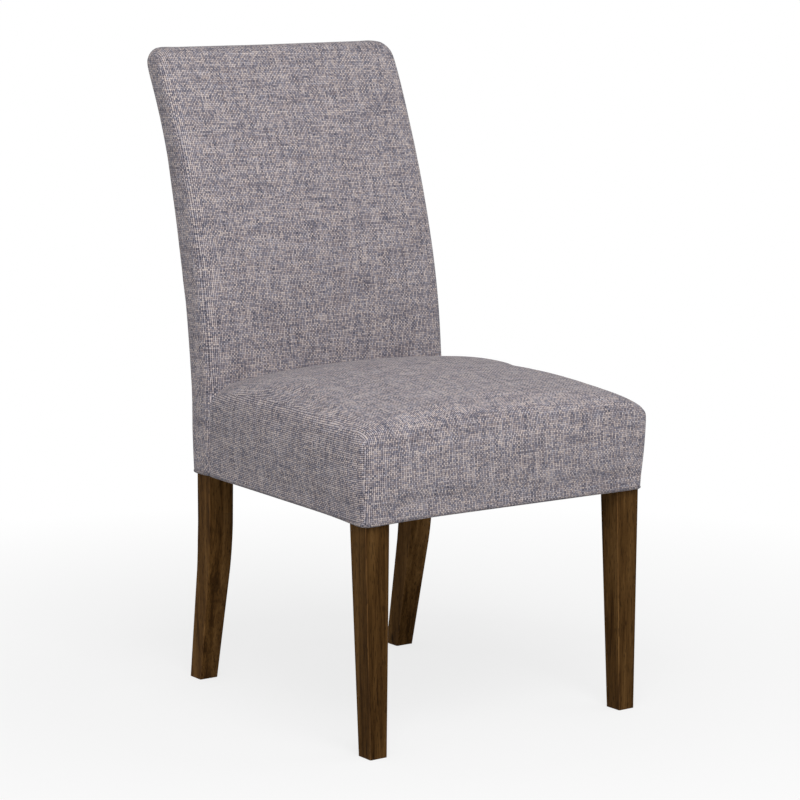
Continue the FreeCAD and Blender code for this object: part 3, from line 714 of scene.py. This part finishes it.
seat_box = bevelled_box(
    (-SEAT_HALF_FRONT, SEAT_FRONT, HEM - UNDER_HEM),
    (SEAT_HALF_FRONT, SEAT_REAR + SEAT_INTO_BACK, SEAT_BOX_TOP),
    ((FRONT_CORNER, front_upright), (TOP_EDGE, top_edge)),
)
seat = upholstered("seat", seat_box, shape_seat, SEAT_PUFF, seat_hold)
print("seat faces:", len(seat.data.polygons))

# %% [markdown]
# The back is a thinner block that stands behind the seat and leans away from it in a curve.
# Its front and rear faces are parallel, its upper corners are rounded, and it narrows a little
# at the hem. It is made as the seat is: box, rounded edges, net, formula, light blow-up. The
# photographed back isn't quite even, so the top edge rises a few millimetres to the right.

# %% Back
FRONT_BEND, FRONT_RADIUS = 0.424, 1.2
REAR_BEND, REAR_RADIUS = 0.440, 1.25
HEM_NARROWING = 0.005
BELLY = 0.0018
BELLY_HEIGHT = 0.60
BELLY_REACH = 0.12
TOP_RISE = 0.002
TOP_TILT = 0.0056
TOP_CROWN = 0.0020
TOP_PULL = 0.0018
TOP_REACH = 0.14


def lean_at(z, bend, radius):
    """How far a face of the back has gone to the rear at a height."""
    rise = max(z - bend, 0.0)
    return radius - math.sqrt(radius ** 2 - rise ** 2)


def near_hem(z):
    """1 at the hem and 0 from a hand's width above it."""
    return 1 - step_between(z, HEM - 0.02, HEM + 0.075)


def shape_back(point):
    """Moves a point of the upright box to its place on the leaning back."""
    depth_share = (point.y - SEAT_REAR) / BACK_DEPTH
    lean = lean_at(point.z, FRONT_BEND, FRONT_RADIUS) * (1 - depth_share)
    lean += lean_at(point.z, REAR_BEND, REAR_RADIUS) * depth_share
    belly = BELLY * math.exp(-((point.z - BELLY_HEIGHT) / BELLY_REACH) ** 2)
    side = point.x / BACK_HALF
    tall = step_between(point.z, BACK_TOP - TOP_REACH, BACK_TOP)
    crown = tall * (TOP_RISE + TOP_TILT * side + TOP_CROWN * (1 - side ** 2))
    inward = (HEM_NARROWING * near_hem(point.z) - belly) * side
    inward += TOP_PULL * tall * max(side, 0.0)
    return Vector((point.x - inward, point.y + lean, point.z + crown))


def back_hold(point):
    """How freely the back's cloth may move: not at the hem."""
    return step_between(point.z, HEM + 0.004, HEM + 0.06)


LEFT_TOP_CORNER = 0.034
RIGHT_TOP_CORNER = 0.025
FRONT_EDGE = 0.018
REAR_EDGE = 0.011
BACK_PUFF = 0.0024
BACK_BOX_TOP = BACK_TOP - 0.0015


def left_top(middle):
    """True for the rounded corner at the top left of the back's box."""
    return middle.z > BACK_TOP - BAND and middle.x < -BACK_HALF + NEAR


def right_top(middle):
    """True for the rounded corner at the top right of the back's box."""
    return middle.z > BACK_TOP - BAND and middle.x > BACK_HALF - NEAR


def front_edge(middle):
    """True for the edges round the front face of the back's box, above the hem."""
    return middle.y < SEAT_REAR + NEAR and middle.z > HEM + BAND


def rear_edge(middle):
    """True for the edges round the rear face of the back's box, above the hem."""
    return middle.y > BACK_REAR - NEAR and middle.z > HEM + BAND


back_box = bevelled_box(
    (-BACK_HALF, SEAT_REAR, HEM - UNDER_HEM),
    (BACK_HALF, BACK_REAR, BACK_BOX_TOP),
    (
        (LEFT_TOP_CORNER, left_top),
        (RIGHT_TOP_CORNER, right_top),
        (FRONT_EDGE, front_edge),
        (REAR_EDGE, rear_edge),
    ),
)
back = upholstered("back", back_box, shape_back, BACK_PUFF, back_hold)
print("back faces:", len(back.data.polygons))

# %% [markdown]
# The weave has to follow the cloth. On the seat it lies flat on top, turns down over the
# sides and the front, and keeps its direction, so the weft that runs across the top runs
# upright on the sides. The UV map says just that, in metres: each face is laid out by the way
# that it looks, and distances over the edge are added on.

# %% Weave maps
def lay_map(piece, place_of):
    """A UV map in metres; place_of takes a face's normal and a corner of it."""
    net = bmesh.new()
    net.from_mesh(piece.data)
    layer = net.loops.layers.uv.get("weave") or net.loops.layers.uv.new("weave")
    for face in net.faces:
        for loop in face.loops:
            loop[layer].uv = place_of(face.normal, loop.vert.co)
    net.to_mesh(piece.data)
    net.free()


SEAT_RIM = 0.5


def on_seat(normal, point):
    """Cloth that goes over the seat from side to side and down over the front."""
    x, y, z = point
    if abs(normal.x) > max(abs(normal.y), abs(normal.z)):
        return math.copysign(SEAT_HALF_FRONT + SEAT_RIM - z, normal.x), y
    if abs(normal.y) > abs(normal.z):
        return x, (SEAT_FRONT + z - SEAT_RIM if normal.y < 0 else z)
    return x, y


def on_back(normal, point):
    """Cloth that stands up on the back and wraps its sides and top."""
    x, y, z = point
    depth = y - lean_at(z, FRONT_BEND, FRONT_RADIUS) - SEAT_REAR
    if abs(normal.x) > max(abs(normal.y), abs(normal.z)):
        return math.copysign(1.0, normal.x) * (BACK_HALF + depth), z
    if abs(normal.z) > max(abs(normal.x), abs(normal.y)):
        return x, z + depth
    return x, z


lay_map(seat, on_seat)
lay_map(back, on_back)
print("weave mapped on", seat.name, back.name)

# %% [markdown]
# The outside of the back is closed last, with a panel of its own that is tacked along the top
# and sewn by hand down both sides. It lies on the rear face, a little inside the edges, so a
# fine line shows all round it. Its net is a grid that follows the lean of the rear face, and
# its rim sinks into the block. It is a true sheet, so it gets a cloth's thickness.

# %% Outside back panel
PANEL_INSET = 0.013
PANEL_NARROWING = 0.003
PANEL_RISE = 0.0010
PANEL_PILLOW = 0.003
PANEL_ROUND = 0.026
PANEL_SINK = 0.004
PANEL_THICKNESS = 0.0012
PANEL_LOW = HEM + 0.008
PANEL_TOP = BACK_TOP - 0.014
PANEL_ROWS, PANEL_COLUMNS = 96, 64


def panel_point(across, up, lift):
    """A point of the panel at shares of its width and height, lifted off the rear face."""
    z = PANEL_LOW + up * (PANEL_TOP - PANEL_LOW)
    half = BACK_HALF - PANEL_INSET - PANEL_NARROWING * near_hem(z)
    x = (2 * across - 1) * half
    past_side = max(abs(x) - half + PANEL_ROUND, 0.0)
    past_top = max(z - PANEL_TOP + PANEL_ROUND, 0.0)
    beyond = Vector((past_side, past_top))
    if beyond.length > 0:
        rounded = beyond * (max(beyond) / beyond.length - 1)
        x += rounded.x if x > 0 else -rounded.x
        z += rounded.y
    edge = min(1 - abs(2 * across - 1), 1 - abs(2 * up - 1))
    pillow = PANEL_PILLOW * step_between(edge, 0.0, 0.45)
    rear = BACK_REAR + lean_at(z, REAR_BEND, REAR_RADIUS)
    return Vector((x, rear + lift + pillow, z))


def dressed(piece, material):
    """One material, and faces that shade smoothly into each other."""
    piece.data.materials.clear()
    piece.data.materials.append(material)
    for polygon in piece.data.polygons:
        polygon.use_smooth = True


panel_net = bmesh.new()
bmesh.ops.create_grid(panel_net, x_segments=PANEL_COLUMNS, y_segments=PANEL_ROWS, size=0.5)
for vertex in panel_net.verts:
    lift = -PANEL_SINK if vertex.is_boundary else PANEL_RISE
    vertex.co = panel_point(vertex.co.x + 0.5, vertex.co.y + 0.5, lift)
bmesh.ops.reverse_faces(panel_net, faces=panel_net.faces)
bmesh.ops.solidify(panel_net, geom=panel_net.faces, thickness=PANEL_THICKNESS)
bmesh.ops.recalc_face_normals(panel_net, faces=panel_net.faces)
panel_mesh = bpy.data.meshes.new("outside_back")
panel_net.to_mesh(panel_mesh)
panel_net.free()
panel = link_object("outside_back", panel_mesh)
lay_map(panel, on_back)
dressed(panel, cloth)
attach(panel, "root")
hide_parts("outside_back_cover")
print("outside back faces:", len(panel.data.polygons))

# %% [markdown]
# The two blocks are finished alike: the cloth, one subdivision for a smooth outline, and a few
# facts for the frame: what they ride on, which solids they stand for and how full they are.

# %% Cloth on the two blocks
def finish_padded(piece, node_names):
    """Cloth, one subdivision, and the piece's place in the frame."""
    dressed(piece, cloth)
    finer = piece.modifiers.new("finer", "SUBSURF")
    finer.levels = 1
    finer.render_levels = 1
    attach(piece, "root")
    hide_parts(*node_names)


finish_padded(seat, ["seat_cover", "seat_wadding", "seat_foam", "rail_padding"])
finish_padded(back, ["inside_back_cover", "back_wadding", "back_foam", "back_edge_padding"])
print("cloth laid on", seat.name, back.name)

# %% [markdown]
# Two details are thin rolls of cloth: the bead round the hem and the fold at each side seam.
# A roll is a curve with a round section, turned into a mesh. Both have to lie on cloth that the
# blow-up has moved, so a ray from outside finds the wall at each point of their paths.

# %% Rolls of cloth
def wall_hit(start, aim):
    """The first point of the seat's or the back's cloth that a ray meets."""
    hits = []
    for piece in (seat, back):
        found, place, _, _ = piece.ray_cast(start, aim)
        if found:
            hits.append(place)
    return min(hits, key=lambda place: (place - start).length)


def along_roll(normal, point):
    """Cloth whose weft runs along a thin roll."""
    x, y, z = point
    return x + y, z


def roll_of_cloth(name, spots, radius, rings, closed, material):
    """A thin round roll; spots are (place, share of the radius)."""
    curve = bpy.data.curves.new(name + "_path", "CURVE")
    curve.dimensions = "3D"
    curve.bevel_depth = radius
    curve.bevel_resolution = rings
    run = curve.splines.new("POLY")
    run.points.add(len(spots) - 1)
    run.use_cyclic_u = closed
    for point, (place, share) in zip(run.points, spots):
        point.co = (*place, 1.0)
        point.radius = share
    former = link_object(name + "_former", curve)
    bpy.context.view_layer.update()
    mesh = bpy.data.meshes.new_from_object(former)
    bpy.data.objects.remove(former)
    net = bmesh.new()
    net.from_mesh(mesh)
    bmesh.ops.recalc_face_normals(net, faces=net.faces)
    net.to_mesh(mesh)
    net.free()
    roll = link_object(name, mesh)
    lay_map(roll, along_roll)
    dressed(roll, material)
    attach(roll, "root")
    return roll


print("rolls can be laid on", seat.name, "and", back.name)

# %% [markdown]
# A narrow bead of the same cloth runs round the hem and hides the tacks. Its cloth is painted a
# little darker than the cover, a painted shade for where it turns under. Its path starts as the
# chair's plan, straight runs joined by arcs, and each point is then moved to the wall.

# %% Bead at the hem
BEAD_RADIUS = 0.0026
BEAD_PROUD = 0.0009
BEAD_RINGS = 3
ARC_STEPS = 6
RUN_STEPS = 16


def rounded_plan(corners, radii):
    """Points of a closed outline whose corners are arcs."""
    points = []
    count = len(corners)
    for place, (corner, radius) in enumerate(zip(corners, radii)):
        corner = Vector(corner)
        onward = Vector(corners[(place + 1) % count])
        before = (Vector(corners[place - 1]) - corner).normalized()
        after = (onward - corner).normalized()
        half_angle = before.angle(after) / 2
        centre = corner + (before + after).normalized() * (radius / math.sin(half_angle))
        start = (corner + before * (radius / math.tan(half_angle)) - centre).normalized()
        finish = (corner + after * (radius / math.tan(half_angle)) - centre).normalized()
        for step in range(ARC_STEPS + 1):
            points.append(centre + start.slerp(finish, step / ARC_STEPS) * radius)
        for step in range(1, RUN_STEPS):
            points.append(points[-1].lerp(onward, 1 / (RUN_STEPS + 1 - step)))
    return points


PLAN_MIDDLE = SEAT_FRONT + 0.27
RAY_START = 0.05
RAY_ABOVE_HEM = 0.005


def bead_spot(plan_point):
    """The bead's middle at a point of the plan: just inside the wall, at the hem."""
    height = HEM - hem_dip(plan_point.x, plan_point.y)
    aim = Vector((-plan_point.x, PLAN_MIDDLE - plan_point.y, 0.0)).normalized()
    start = Vector((plan_point.x, plan_point.y, height + RAY_ABOVE_HEM)) - RAY_START * aim
    spot = wall_hit(start, aim) + aim * (BEAD_RADIUS - BEAD_PROUD)
    spot.z = height + BEAD_RADIUS
    return spot


plan_corners = [
    (-SEAT_HALF_FRONT, SEAT_FRONT, 0), (SEAT_HALF_FRONT, SEAT_FRONT, 0),
    (SEAT_HALF_REAR, SEAT_REAR, 0), (SEAT_HALF_REAR, BACK_REAR, 0),
    (-SEAT_HALF_REAR, BACK_REAR, 0), (-SEAT_HALF_REAR, SEAT_REAR, 0),
]
plan_radii = (0.014, 0.014, 0.05, 0.013, 0.013, 0.05)
bead_spots = [(bead_spot(point), 1.0) for point in rounded_plan(plan_corners, plan_radii)]
# The bead's darker cloth is a painted shade.
welt = roll_of_cloth("hem_welt", bead_spots, BEAD_RADIUS, BEAD_RINGS, True, bead_cloth_painted_shade)
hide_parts("bottom_welt")
print("welt faces:", len(welt.data.polygons))

# %% [markdown]
# Where the side of the seat meets the side of the back, the two cloths are turned in and sewn
# together. The turned edge shows as a thin fold from the crease down to the hem, in cloth that is
# painted lighter as a painted highlight. It is a fine roll too, laid a little into the wall and
# thinner at its ends.

# %% Side folds
FOLD_RADIUS = 0.0018
FOLD_IN_WALL = 0.45
FOLD_RINGS = 2
FOLD_BEHIND_SEAM = 0.004
FOLD_DRIFT = 0.003
FOLD_LOW = HEM + 0.003
FOLD_TOP = 0.500
FOLD_STEPS = 30
OUTSIDE = 0.4


def side_fold(name, side):
    """A thin upright roll at the seam between the seat and the back."""
    spots = []
    for step in range(FOLD_STEPS + 1):
        up = step / FOLD_STEPS
        y = SEAT_REAR + FOLD_BEHIND_SEAM + FOLD_DRIFT * step_between(up, 0.5, 1.0)
        z = FOLD_LOW + up * (FOLD_TOP - HEM)
        wall = wall_hit(Vector((side * OUTSIDE, y, z)), Vector((-side, 0.0, 0.0)))
        place = (wall.x - side * FOLD_IN_WALL * FOLD_RADIUS, y, z)
        spots.append((place, 0.5 + 0.5 * math.sin(math.pi * min(up + 0.15, 1.0))))
    # The folds' lighter cloth is a painted highlight.
    return roll_of_cloth(name, spots, FOLD_RADIUS, FOLD_RINGS, False, fold_cloth_painted_highlight)


folds = [side_fold("side_fold_left", -1), side_fold("side_fold_right", 1)]
print("folds:", len(folds))

# %% [markdown]
# The rest of the chair has its right shape already. Its solids come as loose triangles, though,
# so a piece that gets new faces or materials starts as a copy with its points joined and its
# flat faces made whole.

# %% Pieces made from a solid
JOIN = 1e-6
FLAT = math.radians(1.0)
SHARP = math.radians(20.0)


def welded_copy(name, node_name, softening=0.0):
    """A copy of a solid with joined flat faces and, where asked, softened edges."""
    net = bmesh.new()
    net.from_mesh(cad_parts[node_name].data)
    bmesh.ops.remove_doubles(net, verts=net.verts, dist=JOIN)
    bmesh.ops.dissolve_limit(net, angle_limit=FLAT, verts=net.verts, edges=net.edges)
    if softening:
        whole = [edge for edge in net.edges if edge.is_manifold]
        edges = [edge for edge in whole if edge.calc_face_angle() > SHARP]
        bmesh.ops.bevel(net, geom=edges, offset=softening, offset_type="OFFSET", affect="EDGES",
                        segments=2, profile=0.5, material=-1, clamp_overlap=True)
    bmesh.ops.recalc_face_normals(net, faces=net.faces)
    mesh = bpy.data.meshes.new(name)
    net.to_mesh(mesh)
    net.free()
    return link_object(name, mesh)


def in_place_of(piece, node_name):
    """Puts the piece on the root and hides the solid that it stands for."""
    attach(piece, "root")
    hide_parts(node_name)


print("edges sharper than", round(math.degrees(SHARP)), "degrees can be softened")

# %% [markdown]
# The legs keep the planes, the taper and the eased corners of the solids. On a real leg the
# stain is rubbed thin at the corners, and here their paler wood is also a painted highlight along
# the eased edges. The corner faces look between two main directions, which is how they are found
# and given the paler wood. It stops at the hem, where no hand reaches.

# %% Legs
CORNER_TURN = math.cos(math.radians(24.0))


def is_corner(normal):
    """True for a face that looks well away from every main direction."""
    return max(abs(normal.x), abs(normal.y), abs(normal.z)) < CORNER_TURN


for leg_name in ("front_leg_left", "front_leg_right", "rear_leg_left", "rear_leg_right"):
    leg = welded_copy("shaped_" + leg_name, leg_name)
    # Rear legs take the wood painted lighter against their shade; corners take the paler wood.
    leg.data.materials.append(rear_wood_painted_lighter if leg_name.startswith("rear") else stained_wood)
    leg.data.materials.append(rubbed_and_highlit_wood)
    for polygon in leg.data.polygons:
        in_view = polygon.center.z < HEM
        polygon.material_index = 1 if in_view and is_corner(polygon.normal) else 0
    in_place_of(leg, leg_name)
    print(leg.name, "faces:", len(leg.data.polygons))

# %% [markdown]
# Under the seat a dark lining is tacked to the rails, inside the welt. It is one thin sheet,
# cut out round the legs, so its flat size is the solid's own.

# %% Lining under the seat
dust = welded_copy("under_lining", "dust_cover")
dust.data.materials.append(lining)
in_place_of(dust, "dust_cover")

# %% [markdown]
# The webbing is woven jute, and the straps are flat, so they are copies of the solids with
# softened edges. The rails and blocks stay as the frame has them and only get their wood, with
# the grain along each board.

# %% Webbing and inner frame
STRAP_SOFTENING = 0.0004
for strap_name in ("seat_webbing_lengthwise", "seat_webbing_crosswise", "back_webbing"):
    straps = welded_copy("jute_" + strap_name, strap_name, STRAP_SOFTENING)
    straps.data.materials.append(jute)
    in_place_of(straps, strap_name)

ALONG_X = (
    "front_seat_rail", "rear_seat_rail", "back_top_rail", "back_middle_rail", "back_bottom_rail",
    "corner_block_front_left", "corner_block_front_right",
    "corner_block_rear_left", "corner_block_rear_right",
)
ALONG_Y = ("side_seat_rail_left", "side_seat_rail_right")
BOARDS = ("back_panel", "back_tack_strips")


def repaint(node_names, material):
    """Puts a material in each slot of some of the frame's own pieces."""
    for node_name in node_names:
        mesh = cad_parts[node_name].data
        for place in range(len(mesh.materials)):
            mesh.materials[place] = material
        if not mesh.materials:
            mesh.materials.append(material)


repaint(ALONG_X, sawn_along_x)
repaint(ALONG_Y, sawn_along_y)
repaint(BOARDS, board)
print("inner pieces painted:", len(ALONG_X) + len(ALONG_Y) + len(BOARDS))
